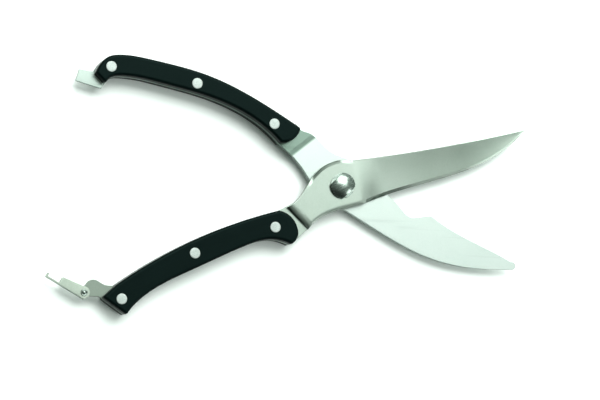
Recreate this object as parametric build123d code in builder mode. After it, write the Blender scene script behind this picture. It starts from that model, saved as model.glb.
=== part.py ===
from build123d import *
import os
from math import atan2, cos, degrees, hypot, radians, sin

# Poultry shears: two forged halves crossing on a pivot bolt, a torsion spring hidden
# between them, moulded grip scales riveted on, and a folded latch on the front tail.
# Millimetres. The pivot axis is Z, the shears lie on z = 0 and +X points to the tips.
# "Back" is the lower, notched half and "front" the upper, pointed half.

# Driving sizes
blade_length = 105.5          # pivot to the tip of the back blade
tip_lead = 3.5                # how much further the pointed front tip reaches
grip_length = 111.0           # back grip, front end to butt
grip_start = 31.0             # pivot to the front end of the back grip
front_grip_shift = -1.3       # front grip's butt, measured from the back grip's
ricasso_thickness = 4.0       # each half where they cross
nut_height = 2.5              # pivot nut, which the shears rest on
blade_gap = 0.05              # grease film between the two halves
tang_front_thickness = 3.0
tail_step = 0.1               # tang face down to tail face, at the butt
tail_thickness = 2.0          # lug and tab behind the grips
ramp_run = 2.3                # slope from each tang down to the meeting face

# Directions in plan, in degrees from +X, with the shears open
front_blade_angle = 18.0
back_blade_angle = -22.5
front_grip_angle = 205.5
back_grip_angle = 163.0
latched_turn = 37.5           # how far the front half closes onto the latch

# Blades: the heel is where the ground face starts, beside the pivot
front_heel = 8.5
front_blade_width = 23.0
back_heel = 24.0
back_blade_width = 21.0
heel_spine_thickness = 3.2
heel_edge_thickness = 2.2     # front blade, before the ground face thins out
tip_spine_thickness = 1.8
edge_thickness = 0.6
front_disc_radius = 13.5      # round shoulder of the front half about the pivot
notch_start = 34.0            # bone notch in the back blade
notch_length = 18.0
notch_depth = 4.2

# Grips
grip_width = 13.4             # front grip at its waist
waist_above = 6.8             # of that, above the line from the pivot
corner_radius = 1.2           # grip corners in plan
back_grip_width = 10.6
front_grip_bow = 4.3
back_grip_bow = 7.9
finger_guard = 9.6            # flare below the front grip, beside the bolster
butt_flare = 6.6              # flare below the front grip, at the butt
grip_edge_radius = 1.5
rivet_head_diameter = 5.5
rivet_head_depth = 1.6
rivet_sleeve_diameter = 4.2
rivet_stud_diameter = 3.0
front_rivet_inset = 12.0      # first rivet, behind the front end of the grip
butt_rivet_inset = 8.5        # last rivet, ahead of the butt
back_rivet_shift = 1.7        # back grip's rivets sit this much nearer its butt

# Pivot
shank_diameter = 8.0
thread_diameter = 6.0
running_clearance = 0.05      # radial, front half on the shank
bolt_head_diameter = 13.5
bolt_head_flats = 10.0        # across the two spanner flats
bolt_head_angle = 45.0
bolt_head_rim = 0.7
bolt_dome_height = 2.3
washer_diameter = 13.0
washer_thickness = 0.5
nut_diameter = 13.0
nut_slot_width = 1.6
nut_slot_depth = 1.0

# Torsion spring around the shank
spring_wire = 1.2
spring_bore_play = 0.8        # shank to the coils
spring_turns = 2.5
spring_pitch = 1.25
spring_leg = 5.0
spring_play = 0.4             # around the wire in its slots
pocket_play = 1.0             # coils to the pocket's wall
pocket_depth = 2.5

# Latch
latch_sheet = 0.8
latch_pin_diameter = 2.0
latch_pin_clearance = 0.05
latch_side_gap = 0.2          # lug to each cheek
lug_round = 1.85              # lug's nose about the pin
latch_wall_offset = 2.1       # pin to the inside of the folded wall
latch_boss_radius = 3.0
latch_cheek_length = 13.2
latch_cheek_end_width = 4.3
latch_lip = 1.6
latch_clearance = 0.15
latch_rest_angle = 150.5      # tongue's direction with the shears open
latch_head_diameter = 3.6
latch_head_height = 0.7
lug_reach = 6.8               # latch pin behind the front grip's butt
lug_rise = 6.1                # latch pin above the front grip's line
tab_width = 6.4
tab_low = 6.6                 # tab's lower edge above the back grip's line

# Heights that follow
meeting_z = nut_height + ricasso_thickness
grip_top_z = 2 * meeting_z
front_low_z = meeting_z + blade_gap
front_top_z = meeting_z + ricasso_thickness
washer_z = front_top_z + blade_gap
head_z = washer_z + washer_thickness
tail_low_z = meeting_z - tail_thickness / 2
tang_butt_thickness = tail_thickness + 2 * tail_step
cheek_low_z = tail_low_z - latch_side_gap - latch_sheet
cheek_top_z = tail_low_z + tail_thickness + latch_side_gap + latch_sheet

# Radii about the pivot that follow
spring_radius = shank_diameter / 2 + spring_bore_play + spring_wire / 2
pocket_radius = spring_radius + spring_wire / 2 + pocket_play

# Distances along the grips that follow
back_butt = grip_start + grip_length
front_butt = back_butt + front_grip_shift
front_tip = blade_length + tip_lead
pin_x = front_butt + lug_reach


def turned(angle):
    """A plan plane whose X runs along the given direction."""
    return Plane.XY.rotated((0, 0, angle))


def across(angle, distance):
    """An upright plane square to that direction, with its Y up."""
    along = Vector(cos(radians(angle)), sin(radians(angle)), 0)
    return Plane(origin=along * distance, x_dir=(-along.Y, along.X, 0), z_dir=along)


def leaning(plan, point, heading, height, drop, run):
    """A plane through a line in plan, rising along the heading by drop over run."""
    way = Vector(cos(radians(heading)), sin(radians(heading)), 0)
    line = Vector(-way.Y, way.X, 0)
    normal = Vector(-way.X * drop, -way.Y * drop, run)
    origin = plan.from_local_coords(Vector(point[0], point[1], height))
    x_dir = plan.from_local_coords(line) - plan.origin
    z_dir = plan.from_local_coords(normal) - plan.origin
    return Plane(origin=origin, x_dir=x_dir, z_dir=z_dir)


front_blade_plan = turned(front_blade_angle)
back_blade_plan = turned(back_blade_angle)
front_grip_plan = turned(front_grip_angle)
back_grip_plan = turned(back_grip_angle)

# Where the closed front half brings the latch pin, seen along the back grip
pin_turn = front_grip_angle - latched_turn - back_grip_angle - degrees(atan2(lug_rise, pin_x))
pin_distance = hypot(pin_x, lug_rise)
closed_pin_x = pin_distance * cos(radians(pin_turn))
closed_pin_y = pin_distance * sin(radians(pin_turn))
tab_end = closed_pin_x + latch_wall_offset - latch_clearance
tab_top = tab_low + tab_width
tongue_length = closed_pin_y + tab_top + 2 * latch_clearance


def rivet_places(first, last, line):
    """Three rivets along a grip, the middle one halfway and on the grip's bow."""
    middle = (first + last) / 2
    return [(first, line[0]), (middle, line[1]), (last, line[2])]


front_first_rivet = grip_start + front_rivet_inset
front_rivets = rivet_places(front_first_rivet, front_butt - butt_rivet_inset, (4.8, -0.6, 4.8))
back_first_rivet = front_first_rivet + back_rivet_shift
back_last_rivet = back_butt - butt_rivet_inset + 1.3
back_rivets = rivet_places(back_first_rivet, back_last_rivet, (-18.6, -25.2, -18.6))


def front_grip_outline(plan):
    """Front grip in plan: +X to the butt, -Y towards the other handle."""
    nose = grip_start + 6.3
    waist = (nose + front_butt) / 2
    low = grip_width - waist_above
    with BuildSketch(plan) as outline:
        with BuildLine():
            crest = (waist, -2.6 - front_grip_bow)
            upper = ThreePointArc((nose, -2.3), crest, (front_butt - 9.5, -3.0))
            apex = Line(upper @ 1, (front_butt, 0))
            heel = Line(apex @ 1, (front_butt - 7.5, low + butt_flare))
            under = Spline(
                heel @ 1,
                (front_butt - 12.5, low + butt_flare * 0.6),
                (front_butt - 24.0, low + 0.9),
                (waist, low),
                (nose + 24.0, low + 0.4),
                (nose + 13.0, low + finger_guard * 0.2),
                (nose + 1.6, low + finger_guard),
            )
            flare = (nose - 4.0, low + finger_guard * 0.72)
            guard = ThreePointArc(under @ 1, flare, (nose - 5.2, low + 3.6))
            ThreePointArc(guard @ 1, (nose - 4.6, 3.2), upper @ 0)
        make_face()
        fillet(outline.vertices(), corner_radius)
    return outline.sketch


def back_grip_outline(plan):
    """Back grip in plan: +X to the butt, +Y towards the other handle."""
    waist = (grip_start + back_butt) / 2
    top = -23.5 - back_grip_bow
    with BuildSketch(plan) as outline:
        with BuildLine():
            nose = ThreePointArc(
                (grip_start + 7.5, -10.6),
                (grip_start + 1.2, -14.8),
                (grip_start - 0.6, -21.3),
            )
            over = Spline(
                nose @ 1,
                (grip_start + 20.0, -26.6),
                (waist - 1.5, top),
                (back_butt - 26.0, top + 2.1),
                (back_butt - 10.0, -26.3),
                (back_butt - 4.8, -23.6),
                (back_butt - 1.6, -18.6),
                (back_butt - 0.6, -12.9),
            )
            butt = Line(over @ 1, (back_butt - 7.0, -9.4))
            Spline(
                butt @ 1,
                (back_butt - 9.2, -13.8),
                (back_butt - 15.0, -16.5),
                (waist + 18.0, top + back_grip_width + 1.2),
                (waist, top + back_grip_width),
                (grip_start + 23.0, -17.4),
                nose @ 0,
            )
        make_face()
        fillet(outline.vertices(), corner_radius)
    return outline.sketch


def tang_faces(plan):
    """The two gently converging faces of a tapered tang, as planes."""
    fall = (tang_front_thickness - tang_butt_thickness) / 2
    start = (grip_start, 0)
    top = leaning(plan, start, 0, meeting_z + tang_front_thickness / 2, -fall, grip_length)
    low = leaning(plan, start, 0, meeting_z - tang_front_thickness / 2, fall, grip_length)
    return top, low


def rivet_bores(plan, places):
    """Holes right through for the rivet sleeves."""
    with BuildPart() as bores:
        with BuildSketch(plan):
            with Locations(*places):
                Circle(rivet_sleeve_diameter / 2)
        extrude(amount=grip_top_z)
    return bores.part


def spring_pocket(low, side):
    """Round recess for the spring, with the slot its leg lies in."""
    with BuildPart() as pocket:
        with BuildSketch(Plane.XY.offset(low)):
            Circle(pocket_radius)
            with Locations((side * spring_radius, -spring_leg / 2)):
                Rectangle(spring_wire + 2 * spring_play, spring_leg + 2 * spring_play)
        extrude(amount=pocket_depth)
    return pocket.part


# Front half: pointed blade, shoulder, tang and latch lug in one forging
with BuildPart() as front_blade:
    with BuildSketch(front_blade_plan.offset(front_low_z)):
        with BuildLine():
            shoulder = Spline(
                (-31.7, -2.2),
                (-26.5, -0.8),
                (-20.5, 3.2),
                (-14.3, 8.5),
                (-6.0, front_disc_radius - 0.9),
                (1.5, front_disc_radius - 0.2),
                (9.0, 11.2),
            )
            spine = ThreePointArc(shoulder @ 1, (front_tip / 2, 4.7), (front_tip, 0))
            edge = Spline(
                (front_tip, 0),
                (front_tip - 10.0, -5.2),
                (front_tip - 25.0, -9.8),
                (front_tip - 45.0, 11.3 - front_blade_width),
                (30.0, -11.3),
                (12.0, -12.0),
            )
            under = Spline(edge @ 1, (-1.0, -11.8), (-12.0, -11.9), (-19.5, -13.6), (-24.2, -16.4))
            Line(under @ 1, shoulder @ 0)
        make_face()
    extrude(amount=front_top_z - front_low_z)
    with BuildSketch(across(front_blade_angle, front_heel)):
        with BuildLine():
            Polyline(
                (front_disc_radius + 2, front_low_z + heel_spine_thickness + 0.4),
                (-front_disc_radius, front_low_z + heel_edge_thickness),
                (-front_disc_radius, front_top_z + 2),
                (front_disc_radius + 2, front_top_z + 2),
                close=True,
            )
        make_face()
    with BuildSketch(across(front_blade_angle, front_tip + 2)):
        with BuildLine():
            Polyline(
                (front_disc_radius + 2, front_low_z + tip_spine_thickness + 1.2),
                (-front_disc_radius, front_low_z + edge_thickness * 0.5),
                (-front_disc_radius, front_top_z + 2),
                (front_disc_radius + 2, front_top_z + 2),
                close=True,
            )
        make_face()
    loft(mode=Mode.SUBTRACT)

with BuildSketch(front_grip_plan.offset(meeting_z - tang_front_thickness / 2)) as front_neck:
    with BuildLine():
        Polyline(
            (24.0, -2.5),
            (38.0, -2.2),
            (38.0, 15.0),
            (33.4, 15.2),
            (25.9, 13.0),
            (23.4, 11.7),
            close=True,
        )
    make_face()

with BuildSketch(front_grip_plan.offset(tail_low_z)) as front_lug:
    with BuildLine():
        rise = Spline(
            (front_butt - 12.0, -1.0),
            (front_butt - 8.0, -3.2),
            (front_butt - 4.2, -5.8),
            (front_butt - 1.6, -9.4),
            (front_butt + 0.6, -10.5),
        )
        crown = Line(rise @ 1, (front_butt + 2.6, -10.4))
        nose = Line(crown @ 1, (pin_x + 1.1, -lug_rise - 1.3))
        Line(nose @ 1, (pin_x + 0.6, -lug_rise + 1.6))
        Line((pin_x + 0.6, -lug_rise + 1.6), (front_butt + 1.0, -1.2))
        Line((front_butt + 1.0, -1.2), (front_butt - 2.0, 2.0))
        Line((front_butt - 2.0, 2.0), rise @ 0)
    make_face()
    with Locations((pin_x, -lug_rise)):
        Circle(lug_round)

front_tang_top, front_tang_low = tang_faces(front_grip_plan)
front_ramp_drop = -tang_front_thickness / 2
front_ramp = leaning(front_grip_plan, (29.2, -2.0), 21.0, front_low_z, front_ramp_drop, ramp_run)
with BuildPart() as front_tang:
    extrude(front_grip_outline(front_grip_plan), amount=grip_top_z)
    extrude(front_neck.sketch, amount=tang_front_thickness)
    split(bisect_by=front_tang_top, keep=Keep.BOTTOM)
    split(bisect_by=front_tang_low, keep=Keep.TOP)
    split(bisect_by=front_ramp, keep=Keep.TOP)
    extrude(front_lug.sketch, amount=tail_thickness)

with BuildPart() as front_half:
    add(front_blade)
    add(front_tang)
    with BuildSketch():
        Circle(shank_diameter / 2 + running_clearance)
    extrude(amount=grip_top_z, mode=Mode.SUBTRACT)
    add(spring_pocket(meeting_z, -1), mode=Mode.SUBTRACT)
    add(rivet_bores(front_grip_plan, front_rivets), mode=Mode.SUBTRACT)
    with BuildSketch(front_grip_plan):
        with Locations((pin_x, -lug_rise)):
            Circle(latch_pin_diameter / 2)
    extrude(amount=grip_top_z, mode=Mode.SUBTRACT)

# Back half: wide notched blade, shoulder, tang and latch tab
with BuildPart() as back_blade:
    with BuildSketch(back_blade_plan.offset(nut_height)):
        with BuildLine():
            crest = Spline(
                (-29.8, 18.3),
                (-21.4, 18.3),
                (-15.5, 15.9),
                (-8.5, 14.6),
                (0.0, 15.2),
                (9.0, 14.0),
                (18.0, 10.0),
                (28.0, 5.6),
            )
            step = Spline(
                crest @ 1,
                (notch_start, 3.4),
                (notch_start + notch_length * 0.42, 5.0 - notch_depth),
                (notch_start + notch_length * 0.8, 4.4),
                (notch_start + notch_length, 6.2),
            )
            edge = Spline(
                step @ 1,
                (blade_length - 44.0, 4.2),
                (blade_length - 25.0, 2.8),
                (blade_length - 3.5, 1.6),
            )
            tip = ThreePointArc(edge @ 1, (blade_length, 0.2), (blade_length - 2.0, -2.4))
            spine = Spline(
                tip @ 1,
                (blade_length - 10.0, -5.8),
                (blade_length - 24.0, -10.8),
                (blade_length - 45.0, 6.2 - back_blade_width),
                (40.0, -14.5),
                (24.0, -12.6),
                (8.0, -10.5),
            )
            under = Spline(
                spine @ 1,
                (0.0, -11.0),
                (-8.5, -9.0),
                (-15.0, -4.7),
                (-20.2, -0.9),
                (-27.0, 2.9),
                (-34.6, 5.6),
            )
            Line(under @ 1, crest @ 0)
        make_face()
    extrude(amount=ricasso_thickness)
    with BuildSketch(across(back_blade_angle, back_heel)):
        with BuildLine():
            Polyline(
                (-back_blade_width, meeting_z - heel_spine_thickness - 0.6),
                (6.5, meeting_z - edge_thickness),
                (back_blade_width, meeting_z - edge_thickness),
                (back_blade_width, nut_height - 2),
                (-back_blade_width, nut_height - 2),
                close=True,
            )
        make_face()
    with BuildSketch(across(back_blade_angle, blade_length + 2)):
        with BuildLine():
            Polyline(
                (-back_blade_width, meeting_z - tip_spine_thickness - 1.4),
                (2.0, meeting_z - edge_thickness * 0.5),
                (back_blade_width, meeting_z - edge_thickness * 0.5),
                (back_blade_width, nut_height - 2),
                (-back_blade_width, nut_height - 2),
                close=True,
            )
        make_face()
    loft(mode=Mode.SUBTRACT)

with BuildSketch(back_grip_plan.offset(meeting_z - tang_front_thickness / 2)) as back_neck:
    with BuildLine():
        Polyline((26.5, -5.3), (39.5, -10.9), (39.5, -22.0), (30.4, -21.3), (18.5, -20.2), close=True)
    make_face()

with BuildSketch(back_grip_plan.offset(tail_low_z)) as back_tab:
    with BuildLine():
        Polyline(
            (back_butt - 6.4, -tab_low - 0.5),
            (tab_end, -tab_low),
            (tab_end, -tab_top),
            (back_butt - 2.0, -tab_top - 1.4),
            (back_butt - 10.0, -tab_top - 2.6),
            (back_butt - 7.6, -tab_low - 4.4),
            close=True,
        )
    make_face()

back_tang_top, back_tang_low = tang_faces(back_grip_plan)
back_ramp = leaning(back_grip_plan, (29.6, -7.4), -35.0, meeting_z, tang_front_thickness / 2, ramp_run)
with BuildPart() as back_tang:
    extrude(back_grip_outline(back_grip_plan), amount=grip_top_z)
    extrude(back_neck.sketch, amount=tang_front_thickness)
    split(bisect_by=back_tang_top, keep=Keep.BOTTOM)
    split(bisect_by=back_tang_low, keep=Keep.TOP)
    split(bisect_by=back_ramp, keep=Keep.BOTTOM)
    extrude(back_tab.sketch, amount=tail_thickness)

with BuildPart() as back_half:
    add(back_blade)
    add(back_tang)
    with BuildSketch():
        Circle(shank_diameter / 2)
    extrude(amount=grip_top_z, mode=Mode.SUBTRACT)
    add(spring_pocket(meeting_z - pocket_depth, 1), mode=Mode.SUBTRACT)
    add(rivet_bores(back_grip_plan, back_rivets), mode=Mode.SUBTRACT)


def grip_scale(outline, plan, places, name, face, upper):
    """One moulded scale, seated on a tang face, with its rivet heads sunk flush."""
    low = meeting_z if upper else 0
    with BuildPart() as scale:
        extrude(outline(plan.offset(low)), amount=meeting_z)
        split(bisect_by=face, keep=Keep.TOP if upper else Keep.BOTTOM)
        fillet(scale.edges().group_by(Axis.Z)[-1 if upper else 0], grip_edge_radius)
        with BuildSketch(plan.offset(low)):
            with Locations(*places):
                Circle(rivet_sleeve_diameter / 2)
        extrude(amount=meeting_z, mode=Mode.SUBTRACT)
        with BuildSketch(plan.offset(grip_top_z - rivet_head_depth if upper else 0)):
            with Locations(*places):
                Circle(rivet_head_diameter / 2)
        extrude(amount=rivet_head_depth, mode=Mode.SUBTRACT)
    scale.part.label = name
    return scale.part


def rivet_sleeve(plan, place):
    """Female half of a compression rivet: head below, tube right through."""
    with BuildPart() as sleeve:
        with BuildSketch(plan):
            with Locations(place):
                Circle(rivet_head_diameter / 2)
        extrude(amount=rivet_head_depth)
        with BuildSketch(plan):
            with Locations(place):
                Circle(rivet_sleeve_diameter / 2)
        extrude(amount=grip_top_z - rivet_head_depth)
        with BuildSketch(plan.offset(rivet_head_depth)):
            with Locations(place):
                Circle(rivet_stud_diameter / 2)
        extrude(amount=grip_top_z, mode=Mode.SUBTRACT)
    return sleeve.part


def rivet_stud(plan, place):
    """Male half: head above, stud pressed into the sleeve."""
    with BuildPart() as stud:
        with BuildSketch(plan.offset(grip_top_z - rivet_head_depth)):
            with Locations(place):
                Circle(rivet_head_diameter / 2)
        extrude(amount=rivet_head_depth)
        with BuildSketch(plan.offset(2 * rivet_head_depth)):
            with Locations(place):
                Circle(rivet_stud_diameter / 2)
        extrude(amount=grip_top_z - 3 * rivet_head_depth)
    return stud.part


# Pivot bolt: domed head with two spanner flats, shoulder and threaded end
with BuildPart() as pivot_bolt:
    with BuildSketch(Plane.XZ):
        with BuildLine():
            shaft = Polyline(
                (0, 0),
                (thread_diameter / 2, 0),
                (thread_diameter / 2, nut_height),
                (shank_diameter / 2, nut_height),
                (shank_diameter / 2, head_z),
                (bolt_head_diameter / 2, head_z),
                (bolt_head_diameter / 2, head_z + bolt_head_rim),
            )
            dome = ThreePointArc(
                shaft @ 1,
                (bolt_head_diameter * 0.3, head_z + bolt_head_rim + bolt_dome_height * 0.68),
                (0, head_z + bolt_head_rim + bolt_dome_height),
            )
            Line(dome @ 1, shaft @ 0)
        make_face()
    revolve(axis=Axis.Z)
    with BuildSketch(turned(bolt_head_angle).offset(head_z)):
        with Locations((0, bolt_head_diameter / 2), (0, -bolt_head_diameter / 2)):
            Rectangle(bolt_head_diameter, bolt_head_diameter - bolt_head_flats)
    extrude(amount=bolt_head_rim + bolt_dome_height, mode=Mode.SUBTRACT)

with BuildPart() as pivot_washer:
    with BuildSketch(Plane.XY.offset(washer_z)):
        Circle(washer_diameter / 2)
        Circle(shank_diameter / 2, mode=Mode.SUBTRACT)
    extrude(amount=washer_thickness)

with BuildPart() as pivot_nut:
    with BuildSketch():
        Circle(nut_diameter / 2)
        Circle(thread_diameter / 2, mode=Mode.SUBTRACT)
    extrude(amount=nut_height)
    low_rims = pivot_nut.edges().filter_by(GeomType.CIRCLE).group_by(Axis.Z)[0]
    chamfer(low_rims.sort_by(SortBy.RADIUS)[-1], 0.5)
    with BuildSketch():
        with Locations((0, nut_diameter / 2), (0, -nut_diameter / 2)):
            Rectangle(nut_slot_width, nut_diameter - thread_diameter - 2.0)
    extrude(amount=nut_slot_depth, mode=Mode.SUBTRACT)

# Torsion spring: close coils around the shank, a straight leg into each half
coil_height = spring_turns * spring_pitch
with BuildPart() as pivot_spring:
    with BuildLine() as wire:
        coil_low = (0, 0, meeting_z - coil_height / 2)
        turns = Helix(spring_pitch, coil_height, spring_radius, center=coil_low)
        Line(turns @ 0 - (turns % 0) * spring_leg, turns @ 0)
        Line(turns @ 1, turns @ 1 + (turns % 1) * spring_leg)
    with BuildSketch(Plane(origin=wire.wire() @ 0, z_dir=wire.wire() % 0)):
        Circle(spring_wire / 2)
    sweep(path=wire.wire())

# Latch: folded from one strip, two cheeks and a wall that runs on as a tongue and lip
pin_point = front_grip_plan.from_local_coords(Vector(pin_x, -lug_rise, 0))
tongue_way = Vector(cos(radians(latch_rest_angle)), sin(radians(latch_rest_angle)), 0)
latch_plan = Plane(origin=pin_point, x_dir=tongue_way, z_dir=(0, 0, 1))
latch_wall_outer = latch_wall_offset + latch_sheet
with BuildPart() as latch_hook:
    for cheek_z in (cheek_low_z, cheek_top_z - latch_sheet):
        with BuildSketch(latch_plan.offset(cheek_z)):
            Circle(latch_boss_radius)
            with BuildLine():
                Polyline(
                    (0, -latch_boss_radius),
                    (latch_cheek_length, latch_wall_outer - latch_cheek_end_width),
                    (latch_cheek_length, latch_wall_outer),
                    (0, latch_wall_outer),
                    close=True,
                )
            make_face()
        extrude(amount=latch_sheet)
    with BuildSketch(latch_plan.offset(cheek_low_z)):
        with BuildLine():
            Polyline(
                (-latch_boss_radius * 0.6, latch_wall_offset),
                (tongue_length, latch_wall_offset),
                (tongue_length, latch_wall_offset - latch_lip),
                (tongue_length + latch_sheet, latch_wall_offset - latch_lip),
                (tongue_length + latch_sheet, latch_wall_outer),
                (-latch_boss_radius * 0.6, latch_wall_outer),
                close=True,
            )
        make_face()
    extrude(amount=cheek_top_z - cheek_low_z)
    with BuildSketch(latch_plan):
        Circle(latch_pin_diameter / 2 + latch_pin_clearance)
    extrude(amount=grip_top_z, mode=Mode.SUBTRACT)

with BuildPart() as latch_rivet:
    with BuildSketch(latch_plan.offset(cheek_low_z - latch_pin_clearance - latch_head_height)):
        Circle(latch_head_diameter / 2)
    extrude(amount=latch_head_height)
    with BuildSketch(latch_plan.offset(cheek_top_z + latch_pin_clearance)):
        Circle(latch_head_diameter / 2)
    extrude(amount=latch_head_height)
    fillet(latch_rivet.edges().group_by(Axis.Z)[-1], latch_head_height * 0.7)
    with BuildSketch(latch_plan.offset(cheek_low_z - latch_pin_clearance)):
        Circle(latch_pin_diameter / 2)
    extrude(amount=cheek_top_z - cheek_low_z + 2 * latch_pin_clearance)

front_half.part.label = "front_blade"
back_half.part.label = "back_blade"
pivot_bolt.part.label = "pivot_bolt"
pivot_washer.part.label = "pivot_washer"
pivot_nut.part.label = "pivot_nut"
pivot_spring.part.label = "pivot_spring"
latch_hook.part.label = "latch_hook"
latch_rivet.part.label = "latch_rivet"
pieces = [
    front_half.part,
    back_half.part,
    pivot_bolt.part,
    pivot_washer.part,
    pivot_nut.part,
    pivot_spring.part,
    latch_hook.part,
    latch_rivet.part,
]

for half, outline, plan, places, top_face, low_face in (
    ("front", front_grip_outline, front_grip_plan, front_rivets, front_tang_top, front_tang_low),
    ("back", back_grip_outline, back_grip_plan, back_rivets, back_tang_top, back_tang_low),
):
    pieces.append(grip_scale(outline, plan, places, f"{half}_scale_upper", top_face, True))
    pieces.append(grip_scale(outline, plan, places, f"{half}_scale_lower", low_face, False))

for half, plan, places in (
    ("front", front_grip_plan, front_rivets),
    ("back", back_grip_plan, back_rivets),
):
    for number, place in enumerate(places, 1):
        sleeve = rivet_sleeve(plan, place)
        sleeve.label = f"{half}_rivet_{number}_sleeve"
        stud = rivet_stud(plan, place)
        stud.label = f"{half}_rivet_{number}_stud"
        pieces += [sleeve, stud]

os.makedirs("parts", exist_ok=True)
for piece in pieces:
    export_step(piece, f"parts/{piece.label}.step")
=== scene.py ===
from math import cos, pi, radians, sin

import bmesh
import bpy
from mathutils import Matrix, Vector


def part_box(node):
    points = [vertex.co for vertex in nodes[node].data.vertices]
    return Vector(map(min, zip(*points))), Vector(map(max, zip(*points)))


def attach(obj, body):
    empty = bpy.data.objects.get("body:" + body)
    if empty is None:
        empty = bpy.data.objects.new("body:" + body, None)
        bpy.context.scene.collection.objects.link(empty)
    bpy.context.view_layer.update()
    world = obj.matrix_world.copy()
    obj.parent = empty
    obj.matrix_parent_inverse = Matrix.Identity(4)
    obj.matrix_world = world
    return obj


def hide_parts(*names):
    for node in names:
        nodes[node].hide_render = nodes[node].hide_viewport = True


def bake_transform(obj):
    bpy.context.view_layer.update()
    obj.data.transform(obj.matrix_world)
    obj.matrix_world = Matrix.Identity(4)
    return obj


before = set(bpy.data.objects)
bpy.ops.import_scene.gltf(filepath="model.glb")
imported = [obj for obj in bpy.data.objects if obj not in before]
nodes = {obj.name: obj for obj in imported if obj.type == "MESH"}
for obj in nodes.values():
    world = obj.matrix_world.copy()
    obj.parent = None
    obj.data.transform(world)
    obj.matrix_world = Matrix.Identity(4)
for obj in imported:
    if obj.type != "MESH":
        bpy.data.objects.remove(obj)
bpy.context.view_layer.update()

mm = 0.001

# camera, nearly straight down on the pivot and a little from the left
cameraLook = {"eye": (-0.37909, -0.13777, 1.25020), "target": (-0.02193, -0.00777, 0.0070),
              "lens": 150, "sensor": 36, "near": 0.05, "far": 10}
eye = Vector(cameraLook["eye"])
forward = (Vector(cameraLook["target"]) - eye).normalized()
right = forward.cross(Vector((0, 1, 0))).normalized()
upward = right.cross(forward)
camera = bpy.data.objects.new("camera", bpy.data.cameras.new("camera"))
bpy.context.collection.objects.link(camera)
camera.matrix_world = Matrix((
    (right.x, upward.x, -forward.x, eye.x),
    (right.y, upward.y, -forward.y, eye.y),
    (right.z, upward.z, -forward.z, eye.z),
    (0, 0, 0, 1),
))
camera.data.lens = cameraLook["lens"]
camera.data.sensor_width = cameraLook["sensor"]
camera.data.clip_start = cameraLook["near"]
camera.data.clip_end = cameraLook["far"]
bpy.context.scene.camera = camera
print("camera set")


# node helpers
def newMaterial(name):
    material = bpy.data.materials.new(name)
    material.use_nodes = True
    tree = material.node_tree
    shader = next(n for n in tree.nodes if n.type == "BSDF_PRINCIPLED")
    return material, tree, shader


# Settings named like a socket fill that socket, the rest are the node's own.
def addNode(tree, kind, **settings):
    node = tree.nodes.new(kind)
    for key, value in settings.items():
        if key in node.inputs:
            node.inputs[key].default_value = value
        else:
            setattr(node, key, value)
    return node


# Object coordinates turned to run along a direction, then stretched.
def objectSpace(tree, angle=0.0, stretch=(1, 1, 1)):
    coords = addNode(tree, "ShaderNodeTexCoord")
    turn = addNode(tree, "ShaderNodeMapping", vector_type="TEXTURE", Rotation=(0, 0, radians(angle)))
    scale = addNode(tree, "ShaderNodeMapping", Scale=stretch)
    tree.links.new(coords.outputs["Object"], turn.inputs["Vector"])
    tree.links.new(turn.outputs["Vector"], scale.inputs["Vector"])
    return scale.outputs["Vector"]


def noise(tree, vector, scale, detail=3.0, roughness=0.6):
    node = addNode(tree, "ShaderNodeTexNoise", Scale=scale, Detail=detail, Roughness=roughness)
    tree.links.new(vector, node.inputs["Vector"])
    return node.outputs["Fac"]


def remap(tree, value, fromLow, fromHigh, toLow, toHigh):
    node = addNode(tree, "ShaderNodeMapRange")
    limits = {"From Min": fromLow, "From Max": fromHigh, "To Min": toLow, "To Max": toHigh}
    for key, number in limits.items():
        node.inputs[key].default_value = number
    tree.links.new(value, node.inputs["Value"])
    return node.outputs["Result"]


def ramp(tree, value, stops):
    node = addNode(tree, "ShaderNodeValToRGB")
    elements = node.color_ramp.elements
    elements[0].position, elements[0].color = stops[0][0], (*stops[0][1], 1)
    elements[1].position, elements[1].color = stops[-1][0], (*stops[-1][1], 1)
    for position, colour in stops[1:-1]:
        elements.new(position).color = (*colour, 1)
    tree.links.new(value, node.inputs["Fac"])
    return node.outputs["Color"]


def multiply(tree, first, second):
    node = addNode(tree, "ShaderNodeMix", data_type="RGBA", blend_type="MULTIPLY")
    node.inputs["Factor"].default_value = 1.0
    tree.links.new(first, node.inputs["A"])
    tree.links.new(second, node.inputs["B"])
    return node.outputs["Result"]


def total(tree, first, second):
    node = addNode(tree, "ShaderNodeMath", operation="ADD")
    tree.links.new(first, node.inputs[0])
    tree.links.new(second, node.inputs[1])
    return node.outputs["Value"]


def bump(tree, height, strength, distance, before=None):
    node = addNode(tree, "ShaderNodeBump", Strength=strength, Distance=distance)
    tree.links.new(height, node.inputs["Height"])
    if before:
        tree.links.new(before, node.inputs["Normal"])
    return node.outputs["Normal"]


# what every ground steel shares: a cloudy polish and a few deeper marks at a slant
steelWear = {
    "cloud": 60, "cloudDull": (0.93, 0.95, 0.94), "cloudRough": (-0.04, 0.06), "roughSpread": 0.07,
    "markTurn": 21, "markStretch": 0.03, "markGrain": 700, "markFrom": 0.66, "markTo": 0.72,
    "markRough": 0.10, "markBump": 0.12, "markDepth": 0.00002,
    "fineDepth": 0.00003, "broadDepth": 0.00005, "broadShare": 0.6, "broadGrain": 5,
}


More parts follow.
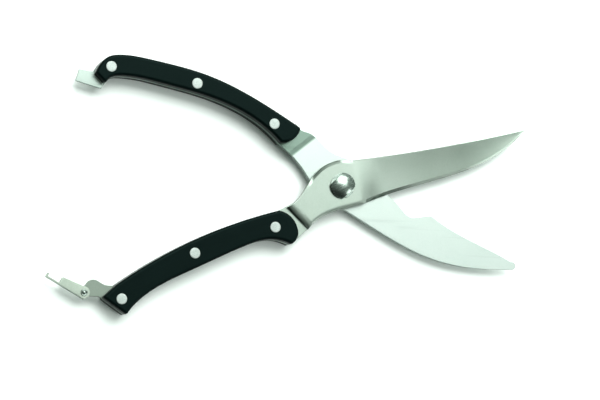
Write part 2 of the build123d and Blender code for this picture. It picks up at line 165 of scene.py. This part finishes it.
# Ground steel: long fine scratches across one direction, with painted light and shade: the colour is
# darkened by how far along a zone it lies.
def brushedSteel(name, look):
    material, tree, shader = newMaterial(name)
    link = tree.links.new
    wear = steelWear
    angle, along, grain = look["angle"], look["along"], look["grain"]
    fine = noise(tree, objectSpace(tree, angle, (along, 1, 1)), grain, 4)
    broad = noise(tree, objectSpace(tree, angle, (along * 2, 1, 1)), grain / wear["broadGrain"], 2)
    cloud = noise(tree, objectSpace(tree), wear["cloud"], 3)
    marks = noise(tree, objectSpace(tree, angle + wear["markTurn"], (wear["markStretch"], 1, 1)),
                  wear["markGrain"], 1)
    scratched = ramp(tree, fine, [(0.25, look["dark"]), (0.75, look["light"])])
    colour = multiply(tree, scratched, ramp(tree, cloud, [(0.3, wear["cloudDull"]), (0.7, (1, 1, 1))]))
    # painted shade: a ramp along the blade multiplies the colour, darker where less light is reflected
    if "paintedLightZone" in look:
        paintedShades = look["paintedLightZone"]["paintedShades"]
        low, high = paintedShades[0][0], paintedShades[-1][0]
        way = addNode(tree, "ShaderNodeSeparateXYZ")
        link(objectSpace(tree, look["paintedLightZone"]["angle"]), way.inputs["Vector"])
        share = remap(tree, way.outputs["X"], low, high, 0, 1)
        stops = [((x - low) / (high - low), shade) for x, shade in paintedShades]
        colour = multiply(tree, colour, ramp(tree, share, stops))
    link(colour, shader.inputs["Base Color"])
    shader.inputs["Metallic"].default_value = 1.0
    lowRough, highRough = look["rough"] - wear["roughSpread"], look["rough"] + wear["roughSpread"]
    rough = total(tree, remap(tree, fine, 0.2, 0.8, lowRough, highRough),
                  remap(tree, cloud, 0.2, 0.8, *wear["cloudRough"]))
    dents = remap(tree, marks, wear["markFrom"], wear["markTo"], 0.0, wear["markRough"])
    link(total(tree, rough, dents), shader.inputs["Roughness"])
    first = bump(tree, fine, look["bump"], wear["fineDepth"])
    second = bump(tree, broad, look["bump"] * wear["broadShare"], wear["broadDepth"], first)
    marked = remap(tree, marks, wear["markFrom"], wear["markTo"], 1.0, 0.0)
    link(bump(tree, marked, wear["markBump"], wear["markDepth"], second), shader.inputs["Normal"])
    return material


# painted light and shade: metres along the zone's angle from the pivot, then the painted shade there,
# standing in for the reflected light that makes lug, tang, ricasso, heel and point differ in tone
frontBladeLook = {
    "angle": 18, "along": 40, "grain": 900, "rough": 0.34, "bump": 0.25,
    "dark": (0.238, 0.287, 0.249), "light": (0.343, 0.413, 0.361),
    "paintedLightZone": {"angle": 18.0, "paintedShades": [
        (-0.150, (0.52, 0.53, 0.51)), (-0.112, (0.52, 0.53, 0.51)),            # lug
        (-0.102, (0.714, 0.714, 0.714)), (0.010, (0.714, 0.714, 0.714)),       # tang and ricasso
        (0.022, (0.76, 0.76, 0.76)), (0.050, (0.60, 0.61, 0.60)),              # heel
        (0.070, (0.60, 0.61, 0.60)), (0.100, (1, 1, 1)),                       # point
    ]},
}
backBladeLook = {
    "angle": -22.5, "along": 40, "grain": 900, "rough": 0.38, "bump": 0.2,
    "dark": (0.265, 0.31, 0.288), "light": (0.335, 0.39, 0.362),
    # painted shade: the tang and tab darker than the lit blade and ricasso
    "paintedLightZone": {"angle": 128.0, "paintedShades": [
        (0.0, (1, 1, 1)), (0.0276, (1, 1, 1)),                                 # blade and ricasso
        (0.0282, (0.36, 0.44, 0.39)), (0.100, (0.36, 0.44, 0.39)),             # tang
        (0.104, (0.79, 0.82, 0.80)),                                           # tab
    ]},
}
latchLook = {"angle": 150.5, "along": 12, "grain": 900, "rough": 0.36, "bump": 0.2,
             "dark": (0.215, 0.255, 0.215), "light": (0.30, 0.35, 0.30)}
pivotLook = {"angle": 20, "along": 0.12, "grain": 1300, "rough": 0.24, "bump": 0.35,
             "dark": (0.145, 0.185, 0.16), "light": (0.25, 0.30, 0.27)}
springLook = {"angle": 10, "along": 2, "grain": 1500, "rough": 0.3, "bump": 0.2,
              "dark": (0.30, 0.31, 0.30), "light": (0.46, 0.48, 0.46)}

rivetLook = {"grain": 2600, "rub": 6, "rough": 0.5, "roughSpread": 0.06, "bump": 0.5, "depth": 0.00006,
             "dark": (0.20, 0.235, 0.22), "light": (0.34, 0.385, 0.36)}


# Rivet heads: fine blasted grain, smoother where rubbed.
def blastedSteel(name, look):
    material, tree, shader = newMaterial(name)
    link = tree.links.new
    grain = noise(tree, objectSpace(tree), look["grain"], 2, 0.7)
    rub = noise(tree, objectSpace(tree), look["grain"] / look["rub"], 2)
    link(ramp(tree, grain, [(0.3, look["dark"]), (0.7, look["light"])]), shader.inputs["Base Color"])
    lowRough, highRough = look["rough"] - look["roughSpread"], look["rough"] + look["roughSpread"]
    link(remap(tree, rub, 0.3, 0.7, lowRough, highRough), shader.inputs["Roughness"])
    shader.inputs["Metallic"].default_value = 1.0
    link(bump(tree, grain, look["bump"], look["depth"]), shader.inputs["Normal"])
    return material


scaleLook = {
    "dark": (0.0006, 0.0022, 0.0020), "light": (0.0012, 0.0036, 0.0032),
    "grain": 2200, "rough": 0.36, "bump": 0.18, "depth": 0.00004,
    "flow": 120, "flowStretch": 0.25, "flowRough": (-0.04, 0.05),
    "scratch": 1400, "scratchTurn": 24, "scratchStretch": 0.02,
    "scratchRough": 0.12, "scratchBump": 0.05, "scratchDepth": 0.00002,
    "gloss": 0.045, "glossTint": (0.55, 1.0, 0.90, 1),
}


# Black POM: fine mould texture, faint flow marks, a few light handling scratches.
def mouldedPlastic(name, angle):
    material, tree, shader = newMaterial(name)
    link = tree.links.new
    look = scaleLook
    grain = noise(tree, objectSpace(tree), look["grain"], 3, 0.7)
    flow = noise(tree, objectSpace(tree, angle, (look["flowStretch"], 1, 1)), look["flow"], 3)
    slant = objectSpace(tree, angle + look["scratchTurn"], (look["scratchStretch"], 1, 1))
    scratch = noise(tree, slant, look["scratch"], 1)
    link(ramp(tree, flow, [(0.3, look["dark"]), (0.7, look["light"])]), shader.inputs["Base Color"])
    smooth, dull = (look["rough"] + step for step in look["flowRough"])
    rough = total(tree, remap(tree, flow, 0.25, 0.75, smooth, dull),
                  remap(tree, scratch, 0.68, 0.76, 0.0, look["scratchRough"]))
    link(rough, shader.inputs["Roughness"])
    shader.inputs["Specular IOR Level"].default_value = look["gloss"]
    shader.inputs["Specular Tint"].default_value = look["glossTint"]
    first = bump(tree, grain, look["bump"], look["depth"])
    link(bump(tree, scratch, look["scratchBump"], look["scratchDepth"], first), shader.inputs["Normal"])
    return material


frontSteel = brushedSteel("front_blade_steel", frontBladeLook)
backSteel = brushedSteel("back_blade_steel", backBladeLook)
latchSteel = brushedSteel("latch_steel", latchLook)
pivotSteel = brushedSteel("pivot_steel", pivotLook)
springSteel = brushedSteel("spring_steel", springLook)
rivetSteel = blastedSteel("rivet_steel", rivetLook)
latchRivetSteel = brushedSteel("latch_rivet_steel", pivotLook)

# the way each grip runs and the width of its soft edges
gripShape = {"front": 205.5, "back": 163.0, "soft": 0.12, "sharp": 28}
frontPom = mouldedPlastic("front_black_pom", gripShape["front"])
backPom = mouldedPlastic("back_black_pom", gripShape["back"])

finishes = {
    "front_blade": frontSteel, "back_blade": backSteel, "latch_hook": latchSteel,
    "latch_rivet": latchRivetSteel, "pivot_bolt": pivotSteel, "pivot_washer": pivotSteel,
    "pivot_nut": pivotSteel, "pivot_spring": springSteel,
}
for name, node in nodes.items():
    if "rivet_" in name and name != "latch_rivet":
        material = rivetSteel
    elif "scale" in name:
        material = frontPom if name.startswith("front") else backPom
    else:
        material = finishes[name]
    node.data.materials.clear()
    node.data.materials.append(material)
print("finishes on", len(nodes), "nodes")


# mesh helpers: a piece is in millimetres, turned along its own X, until it is finished
def turnedTo(angle):
    return Matrix.Scale(1 / mm, 4) @ Matrix.Rotation(-radians(angle), 4, "Z")


# A welded copy of a CAD node, its flat faces whole again.
def merged(node, angle=0.0):
    weld, flat = 0.002, 0.4
    mesh = bmesh.new()
    mesh.from_mesh(nodes[node].data)
    bmesh.ops.transform(mesh, matrix=turnedTo(angle), verts=mesh.verts)
    bmesh.ops.remove_doubles(mesh, verts=mesh.verts, dist=weld)
    bmesh.ops.dissolve_limit(mesh, angle_limit=radians(flat), verts=mesh.verts, edges=mesh.edges)
    return mesh


# Turns the mesh back, shades it and ties it to its body. A body given as a table of two ends is only
# baked in place, tied to neither.
def finishPiece(mesh, name, material, body, replaced, angle=0.0, sharp=32.0):
    bmesh.ops.transform(mesh, matrix=turnedTo(angle).inverted(), verts=mesh.verts)
    bmesh.ops.recalc_face_normals(mesh, faces=mesh.faces)
    for face in mesh.faces:
        face.smooth = True
    for edge in mesh.edges:
        edge.smooth = edge.smooth and edge.is_manifold and edge.calc_face_angle(0) < radians(sharp)
    data = bpy.data.meshes.new(name)
    mesh.to_mesh(data)
    mesh.free()
    data.materials.append(material)
    piece = bpy.data.objects.new(name, data)
    bpy.context.collection.objects.link(piece)
    weighted = piece.modifiers.new("weighted_normals", "WEIGHTED_NORMAL")
    weighted.keep_sharp = True
    if isinstance(body, dict):
        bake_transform(piece)
    else:
        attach(piece, body)
    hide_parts(*replaced)
    return piece


# Scores those faces with one plane.
def cut(mesh, faces, point, normal):
    faces = list(faces)
    edges = {edge for face in faces for edge in face.edges}
    verts = {vert for face in faces for vert in face.verts}
    bmesh.ops.bisect_plane(mesh, geom=[*faces, *edges, *verts], dist=0.0005,
                           plane_co=point, plane_no=normal)


# Rounds every edge sharper than an angle.
def softEdges(mesh, width, least=35.0, segments=2, chosen=None):
    edges = [e for e in mesh.edges if e.is_manifold and e.calc_face_angle(0) > radians(least)]
    if chosen:
        edges = [edge for edge in edges if chosen(edge)]
    bmesh.ops.bevel(mesh, geom=edges, offset=width, offset_type="OFFSET", segments=segments, profile=0.5,
                    affect="EDGES", clamp_overlap=False, material=-1)


def middle(edge):
    return (edge.verts[0].co + edge.verts[1].co) / 2


# Height of an outline at a distance along, from its points.
def follow(points):
    points = sorted(points)

    def at(x):
        for (x0, y0), (x1, y1) in zip(points, points[1:]):
            if x <= x1:
                share = (x - x0) / (x1 - x0) if x1 > x0 else 0
                return y0 + (y1 - y0) * max(share, 0)
        return points[-1][1]

    return at


def clamp(value):
    return min(max(value, 0), 1)


def easing(value):
    value = clamp(value)
    return value * value * (3 - 2 * value)


# front half: ricasso with a rolled bolster, plunge, hollow ground face, cutting bevel
frontShape = {
    "angle": 18.0, "low": 6.55, "top": 10.5, "tip": 109.0, "holeClear": 9.2, "sharp": 28, "soft": 0.18,
    "faceAbove": 8.3, "faceFrom": -33, "bandLine": (-16, 7), "softAbove": 3,
    "bevelStart": 9.6, "bevelWide": 1.8, "bevelNarrow": 1.2, "edge": 0.15,
    "heelSlope": 0.95, "tipSlope": 0.55, "slopeFrom": 20, "slopeOver": 22,
    "shoulderBand": 1.725, "bandDrop": 1.3, "bandFrom": -17, "crest": 0.35, "crestDrop": 0.2,
    "bolsterEnd": (-31.7, -2.2, 0), "bolsterWay": (7.5, -14.2, 0), "bolsterRoll": 3.6, "bolsterDrop": 1.3,
    "pillow": 1.8, "pillowDrop": 0.45, "pillowFrom": -24.5,
    "plunge": 5.5, "plungeBow": 2.0, "plungeMiddle": 1.5, "plungeHalf": 10.5, "plungeLength": 15.0,
    "ricassoEnd": 8.0, "hollow": 0.1, "hollowFrom": 9, "hollowOver": 20,
}
# the ground face of the CAD blade: height and slope across, at the heel and at the point
groundShape = {"heelAt": 8.5, "length": 102.5, "edgeAt": -13.5,
               "heel": (8.75, 0.0483), "point": (6.85, 0.0931)}

# score lines along the blade: ricasso, bevel start, ground face, point
stations = [x / 2 for x in range(-62, 18, 3)] + [9.6, 10.6, 12.0]
stations += [x / 2 for x in range(28, 212, 5)] + [106.0, 107.2, 108.2]
scoreLines = {
    "bolster": (0.35, 0.8, 1.4, 2.1, 2.9, 3.8, 4.4), "pillow": (0.3, 0.8, 1.4, 2.0, 2.5),
    "face": (0.2, 0.4, 0.6, 0.8), "band": (0.0, 0.5),
    "first": -30.0, "pillowFirst": -22.5, "last": 108.2, "faceLast": 105.5,
}


def groundHeight(x, y):
    s = groundShape
    share = clamp((x - s["heelAt"]) / s["length"])
    heel, point = (height + (y - s["edgeAt"]) * slope for height, slope in (s["heel"], s["point"]))
    return heel * (1 - share) + point * share


# Upper and lower outline of the top face, read from its rim.
def frontOutline(mesh):
    shape = frontShape
    rim = []
    for edge in mesh.edges:
        if len(edge.link_faces) == 2 and all(abs(v.co.z - shape["low"]) < 0.01 for v in edge.verts):
            side = [f.normal for f in edge.link_faces if abs(f.normal.z) < 0.3]
            clear = min(v.co.xy.length for v in edge.verts) > shape["holeClear"]
            if side and clear and abs(side[0].x) < 0.8:
                rim += [(side[0].y, v.co.x, v.co.y) for v in edge.verts]
    upper = follow({(round(x, 3), y) for n, x, y in rim if n > 0})
    lower = follow({(round(x, 3), y) for n, x, y in rim if n < 0})
    return upper, lower


def makeFrontHalf():
    shape, lines = frontShape, scoreLines
    mesh = merged("front_blade", shape["angle"])
    upper, lower = frontOutline(mesh)
    endPoint, endWay = Vector(shape["bolsterEnd"]), Vector(shape["bolsterWay"]).normalized()
    inward = Vector((-endWay.y, endWay.x, 0))
    bevelStart, ricassoEnd = shape["bevelStart"], shape["ricassoEnd"]
    band, crest = shape["shoulderBand"], shape["crest"]

    # the ricasso and blade face, without the recess, the tang or the meeting face
    def topFaces():
        faces = [(f, f.calc_center_median()) for f in mesh.faces if f.normal.z > 0.5]
        return [
            f for f, at in faces
            if (at.z > shape["faceAbove"] or at.x > ricassoEnd) and at.x > shape["faceFrom"]
            and at.z > shape["low"] + 0.1
        ]

    def bevelWidth(x):
        grow = clamp(x - bevelStart) ** 0.5
        reach = clamp((x - bevelStart) / (shape["tip"] - bevelStart))
        wide = shape["bevelWide"] + (shape["bevelNarrow"] - shape["bevelWide"]) * reach
        return grow * min(wide, 0.4 * (upper(x) - lower(x)))

    # a line along the blade, cut straight between stations
    def score(line, first, last):
        ends = [x for x in stations if first <= x <= last]
        groups = {x: [] for x in ends[:-1]}
        for face in topFaces():
            centre = face.calc_center_median().x
            start = max((x for x in ends if x <= centre), default=None)
            if start in groups and centre < ends[-1]:
                groups[start].append(face)
        for x0, x1 in zip(ends, ends[1:]):
            way = Vector((x1 - x0, line(x1) - line(x0), 0))
            cut(mesh, groups[x0], (x0, line(x0), 0), (-way.y, way.x, 0))

    def faceHeight(x, y):
        low, high = lower(x), upper(x)
        bow = 1 - ((y - shape["plungeMiddle"]) / shape["plungeHalf"]) ** 2
        plunge = shape["plunge"] + shape["plungeBow"] * bow
        across = clamp((y - low) / max(high - low, 0.1))
        deepen = easing((x - shape["hollowFrom"]) / shape["hollowOver"])
        hollow = shape["hollow"] * sin(pi * across) * deepen
        share = easing((x - plunge) / shape["plungeLength"])
        height = shape["top"] + (groundHeight(x, y) - hollow - shape["top"]) * share
        if x > bevelStart and bevelWidth(x) > 0.01:
            reach = easing((x - shape["slopeFrom"]) / shape["slopeOver"])
            slope = shape["heelSlope"] + (shape["tipSlope"] - shape["heelSlope"]) * reach
            drop = min(height - shape["low"] - shape["edge"], slope * bevelWidth(x))
            height -= drop * (1 - clamp((y - low) / bevelWidth(x)))
        if x < ricassoEnd:
            fade = easing((ricassoEnd - x) / 6) * easing((x - shape["bandFrom"]) / 4)
            height -= shape["bandDrop"] * fade * max(1 - (high - y) / band, 0)
            reach = max(1 - (y - low) / shape["pillow"], 0)
            if x > shape["pillowFrom"]:
                height -= shape["pillowDrop"] * reach * reach * easing((ricassoEnd + 1 - x) / 4)
            away = (Vector((x, y, 0)) - endPoint).dot(inward)
            reach = clamp(1 - away / shape["bolsterRoll"])
            height -= shape["bolsterDrop"] * (1 - (1 - reach * reach) ** 0.5)
        elif high - y < crest - 0.01:
            height -= shape["crestDrop"] * (1 - (high - y) / crest)
        return height

    for x in stations:
        cut(mesh, topFaces(), (x, 0, 0), (1, 0, 0))
    for distance in lines["bolster"]:
        cut(mesh, topFaces(), endPoint + inward * distance, inward)
    print("front half: cross cuts made,", len(mesh.faces), "faces")

    score(lambda x: lower(x) + bevelWidth(x), bevelStart, lines["last"])
    score(lambda x: upper(x) - min(crest, 0.2 * (upper(x) - lower(x))), lines["first"], lines["last"])
    for share in lines["face"]:
        score(lambda x: (lower(x) + bevelWidth(x)) * (1 - share) + (upper(x) - crest) * share,
              ricassoEnd, lines["faceLast"])
    for distance in lines["pillow"]:
        score(lambda x: lower(x) + distance, lines["pillowFirst"], bevelStart)
    for beyond in lines["band"]:
        score(lambda x: upper(x) - band - beyond, lines["first"], bevelStart)
    print("front half: lengthwise lines scored,", len(mesh.faces), "faces")

    moving = {v for f in topFaces() for v in f.verts}
    for vert in moving:
        vert.co.z = faceHeight(vert.co.x, vert.co.y)
    bmesh.ops.remove_doubles(mesh, verts=list(moving), dist=0.01)

    # the bevel's line and the shoulder's line stay crisp
    near = 0.03
    bandFirst, bandLast = shape["bandLine"]
    for edge in mesh.edges:
        at = middle(edge).x
        onBevel = [
            abs(v.co.y - lower(v.co.x) - bevelWidth(v.co.x)) < near and v.co.z > shape["low"] + 0.25
            for v in edge.verts
        ]
        onBand = [abs(upper(v.co.x) - v.co.y - band) < near for v in edge.verts]
        if all(onBevel) and at > bevelStart or all(onBand) and bandFirst < at < bandLast:
            edge.smooth = False

    def notCutting(edge):
        return middle(edge).x < ricassoEnd or middle(edge).y > shape["softAbove"]

    softEdges(mesh, shape["soft"], 50, 2, notCutting)
    return finishPiece(mesh, "front_half_forging", frontSteel, "front_half", ["front_blade"],
                       shape["angle"], shape["sharp"])


makeFrontHalf()
print("front half made")

# back half: flat meeting face, ground from below
backShape = {"angle": -22.5, "soft": 0.22, "sharp": 28}


def makeBackHalf():
    mesh = merged("back_blade", backShape["angle"])
    softEdges(mesh, backShape["soft"], 40, 2)
    return finishPiece(mesh, "back_half_forging", backSteel, "back_half", ["back_blade"],
                       backShape["angle"], backShape["sharp"])


makeBackHalf()
print("back half made")

for side, pom in (("front", frontPom), ("back", backPom)):
    for level in ("upper", "lower"):
        scale = f"{side}_scale_{level}"
        mesh = merged(scale, gripShape[side])
        softEdges(mesh, gripShape["soft"], 70, 2)
        finishPiece(mesh, f"{side}_grip_{level}", pom, f"{side}_half", [scale],
                    gripShape[side], gripShape["sharp"])
print("grips made")


# Spins a profile of (radius, height) pairs about an upright axis.
def lathe(profile, centre, steps=64):
    mesh = bmesh.new()
    verts = [mesh.verts.new((centre[0] + radius, centre[1], height)) for radius, height in profile]
    edges = [mesh.edges.new(pair) for pair in zip(verts, verts[1:])]
    bmesh.ops.spin(mesh, geom=[*verts, *edges], cent=(centre[0], centre[1], 0), axis=(0, 0, 1),
                   angle=radians(360), steps=steps, use_merge=True)
    bmesh.ops.remove_doubles(mesh, verts=mesh.verts, dist=0.001)
    return mesh


# rivets: a stud whose shank presses into the sleeve from the other side
rivetShape = {"head": 2.75, "sleeve": 2.1, "stud": 1.5, "deep": 1.6, "top": 13.0,
              "chamfer": 0.07, "crown": 0.02, "steps": 48, "sharp": 40}


def rivetCentre(node):
    low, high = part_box(node)
    return ((low[0] + high[0]) / 2 / mm, (low[1] + high[1]) / 2 / mm)


def makeRivets():
    shape = rivetShape
    head, stud, deep, top = shape["head"], shape["stud"], shape["deep"], shape["top"]
    crown, chamfer = shape["crown"], shape["chamfer"]
    face = [(0.0, 0.0), (0.9, 0.004), (1.7, 0.02), (2.3, crown), (head - chamfer, crown * 1.5),
            (head - 0.02, chamfer), (head, chamfer + 0.05)]
    profiles = {
        "stud": [(r, top - d) for r, d in face] + [
            (head, top - deep), (stud, top - deep), (stud, 2 * deep + 0.2), (stud - 0.2, 2 * deep),
            (0.0, 2 * deep)],
        "sleeve": face + [
            (head, deep), (shape["sleeve"], deep), (shape["sleeve"], top - deep), (stud, top - deep),
            (stud, deep), (0.0, deep)],
    }
    for side in ("front", "back"):
        for number in (1, 2, 3):
            centre = rivetCentre(f"{side}_rivet_{number}_stud")
            for part, profile in profiles.items():
                name = f"{side}_rivet_{number}_{part}"
                finishPiece(lathe(profile, centre, shape["steps"]), f"{name}_turned", rivetSteel,
                            f"{side}_half", [name], 0.0, shape["sharp"])


makeRivets()
print("rivets made")

# pivot bolt: a domed head with two spanner flats, a shoulder and a shank
headShape = {
    "radius": 6.75, "low": 11.05, "rim": 0.7, "dome": 2.3, "power": 2.2, "flats": 10.0, "angle": 45.0,
    "shank": 3.0, "shoulder": 4.0, "shoulderLow": 2.5, "soft": 0.22, "steps": 96, "sharp": 40,
    "rings": (0.92, 0.84, 0.74, 0.63, 0.51, 0.38, 0.25, 0.12, 0.0),
}


def makePivotBolt():
    shape = headShape
    radius, low, shank, shoulder = shape["radius"], shape["low"], shape["shank"], shape["shoulder"]
    rimTop = low + shape["rim"]
    profile = [
        (0.0, 0.0), (shank - 0.3, 0.0), (shank, 0.3), (shank, shape["shoulderLow"]),
        (shoulder, shape["shoulderLow"]), (shoulder, low), (radius - 0.15, low),
        (radius, low + 0.15), (radius, rimTop - 0.1), (radius - 0.07, rimTop + 0.1),
    ]
    for share in shape["rings"]:
        profile.append((radius * share, rimTop + shape["dome"] * (1 - share ** shape["power"])))
    mesh = lathe(profile, (0, 0), shape["steps"])
    way = Vector((-sin(radians(shape["angle"])), cos(radians(shape["angle"])), 0))
    half = shape["flats"] / 2
    for sign in (1, -1):
        above = [f for f in mesh.faces if f.calc_center_median().z > low - 0.01]
        geom = [*above, *{e for f in above for e in f.edges}, *{v for f in above for v in f.verts}]
        bmesh.ops.bisect_plane(mesh, geom=geom, dist=0.001, clear_outer=True,
                               plane_co=way * sign * half, plane_no=way * sign)
        bmesh.ops.holes_fill(mesh, edges=[edge for edge in mesh.edges if edge.is_boundary])

    def flatEdge(edge):
        return middle(edge).z > low + 0.3 and abs(abs(middle(edge).dot(way)) - half) < 0.02

    softEdges(mesh, shape["soft"], 24, 3, flatEdge)
    return finishPiece(mesh, "pivot_bolt_turned", pivotSteel, "back_half", ["pivot_bolt"],
                       0.0, shape["sharp"])


makePivotBolt()

roundShape = {"pivot_nut": 0.15, "pivot_washer": 0.1}       # width of the soft edges
for node, soft in roundShape.items():
    mesh = merged(node)
    softEdges(mesh, soft, 40, 2)
    finishPiece(mesh, f"{node}_turned", pivotSteel, "back_half", [node])

# the spring is baked in place and tied to neither half; its table's halves and heights are not read
springShape = {"between": ("back_half", "front_half"), "from": 5.3, "to": 7.7}
finishPiece(merged("pivot_spring"), "pivot_spring_wound", springSteel, springShape,
            ["pivot_spring"])
print("pivot made")

# latch: one folded strip with two cheeks
latchShape = {"angle": 150.5, "fold": 0.75, "soft": 0.14, "sharp": 28,
              "insideLow": 4.51, "insideTop": 8.49}


def makeLatch():
    shape = latchShape
    mesh = merged("latch_hook", shape["angle"])
    wallOuter = max(v.co.y for v in mesh.verts)

    def fold(edge):
        return all(
            v.co.y > wallOuter - 0.01 and (v.co.z < shape["insideLow"] or v.co.z > shape["insideTop"])
            for v in edge.verts
        )

    softEdges(mesh, shape["fold"], 35, 4, fold)
    softEdges(mesh, shape["soft"], 50, 2)
    return finishPiece(mesh, "latch_folded", latchSteel, "latch", ["latch_hook"],
                       shape["angle"], shape["sharp"])


makeLatch()

# latch rivet, both heads alike: a bright dome inside a groove and a rolled rim, as set in a press
latchRivetShape = {
    "centre": (-135.757, -57.9946), "shank": 1.0, "cheekLow": 4.45, "cheekTop": 8.55,
    "steps": 40, "sharp": 50,
    "head": [(0.0, 0.70), (0.35, 0.67), (0.65, 0.57), (0.88, 0.40), (0.98, 0.26), (1.12, 0.22),
             (1.28, 0.34), (1.48, 0.40), (1.68, 0.33), (1.80, 0.16), (1.80, 0.0)],
}


def makeLatchRivet():
    shape = latchRivetShape
    low, top, head = shape["cheekLow"], shape["cheekTop"], shape["head"]
    profile = [(r, top + h) for r, h in head] + [(shape["shank"], top), (shape["shank"], low)]
    profile += [(r, low - h) for r, h in reversed(head)]
    mesh = lathe(profile, shape["centre"], shape["steps"])
    return finishPiece(mesh, "latch_rivet_set", latchRivetSteel, "front_half", ["latch_rivet"],
                       0.0, shape["sharp"])


makeLatchRivet()
print("latch made")

# floor
floorLook = {"size": 6.0, "grain": 40, "dark": (0.90, 0.97, 0.93), "light": (0.92, 0.98, 0.95),
             "rough": 0.9, "gloss": 0.1}
floorMesh = bmesh.new()
bmesh.ops.create_grid(floorMesh, x_segments=4, y_segments=4, size=floorLook["size"] / 2)
floorData = bpy.data.meshes.new("floor")
floorMesh.to_mesh(floorData)
floorMesh.free()
floor = bpy.data.objects.new("floor", floorData)
bpy.context.collection.objects.link(floor)
floorMaterial, floorTree, floorShader = newMaterial("floor_paper")
paper = noise(floorTree, objectSpace(floorTree), floorLook["grain"], 2)
paperColour = ramp(floorTree, paper, [(0.3, floorLook["dark"]), (0.7, floorLook["light"])])
floorTree.links.new(paperColour, floorShader.inputs["Base Color"])
floorShader.inputs["Roughness"].default_value = floorLook["rough"]
floorShader.inputs["Specular IOR Level"].default_value = floorLook["gloss"]
floorData.materials.append(floorMaterial)

# lights, all pointed at the pivot
lights = {
    "key": {"at": (0.40, 1.45, 1.95), "size": 2.2, "power": 112},
    "softbox": {"at": (0.60, 0.28, 1.80), "size": 1.1, "power": 2.6},
    "side": {"at": (1.45, -0.85, 0.95), "size": 0.8, "power": 14.0},
}
for name, light in lights.items():
    lamp = bpy.data.lights.new(name, "AREA")
    lamp.size = light["size"]
    lamp.energy = light["power"]
    holder = bpy.data.objects.new(name, lamp)
    bpy.context.collection.objects.link(holder)
    holder.location = light["at"]
    holder.rotation_euler = (-holder.location).to_track_quat("-Z", "Y").to_euler()

# the room: brightest high up behind the blades, dim below and in front
skyLook = {"towards": (0.30, 0.76, 0.58), "dimAt": -0.1, "brightAt": 0.9, "dim": 0.09, "bright": 0.85,
           "colour": (0.85, 0.97, 0.90, 1)}
world = bpy.data.worlds.new("studio")
world.use_nodes = True
bpy.context.scene.world = world
skyTree = world.node_tree
background = next(n for n in skyTree.nodes if n.type == "BACKGROUND")
skyWay = addNode(skyTree, "ShaderNodeTexCoord")
facing = addNode(skyTree, "ShaderNodeVectorMath", operation="DOT_PRODUCT")
facing.inputs[1].default_value = skyLook["towards"]
skyTree.links.new(skyWay.outputs["Generated"], facing.inputs[0])
glow = remap(skyTree, facing.outputs["Value"], skyLook["dimAt"], skyLook["brightAt"], skyLook["dim"],
             skyLook["bright"])
skyTree.links.new(glow, background.inputs["Strength"])
background.inputs["Color"].default_value = skyLook["colour"]
bpy.context.scene.view_settings.view_transform = "Standard"
print("floor, lights and world ready")
